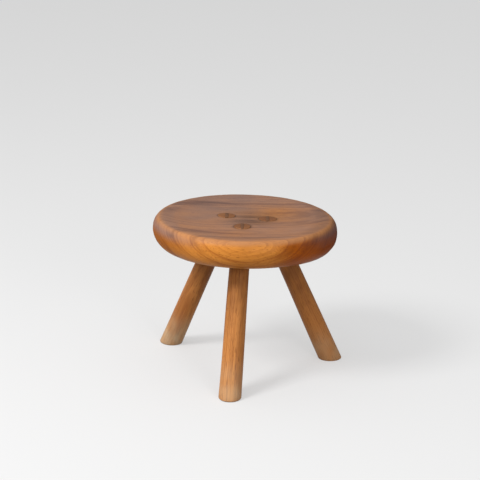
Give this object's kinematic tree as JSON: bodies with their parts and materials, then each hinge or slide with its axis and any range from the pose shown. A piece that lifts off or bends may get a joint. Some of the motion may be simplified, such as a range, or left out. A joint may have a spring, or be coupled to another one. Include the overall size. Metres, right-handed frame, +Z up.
{
  "type": "stool",
  "caption": "Low round stool with a thick dished slab seat on splayed round legs held by wedged through tenons.",
  "frame": {"origin": "on the floor, under the middle of the whole outline, between the feet", "axes": "+Z up; +X to the right and -Y towards the viewer of the picture; the seat's grain runs along X"},
  "size_m": [0.3416, 0.3456, 0.272],
  "materials": {
    "seat_wood": "oiled and waxed by hand, satin, darker where it is sat on",
    "leg_wood": "shaved and oiled, satin",
    "wedge_wood": "end grain, trimmed with the tenon and oiled"
  },
  "bodies": {
    "root": {"seat": "seat_wood", "leg_front": "leg_wood", "leg_left": "leg_wood", "leg_right": "leg_wood", "wedge_front": "wedge_wood", "wedge_left": "wedge_wood", "wedge_right": "wedge_wood"}
  },
  "joints": []
}
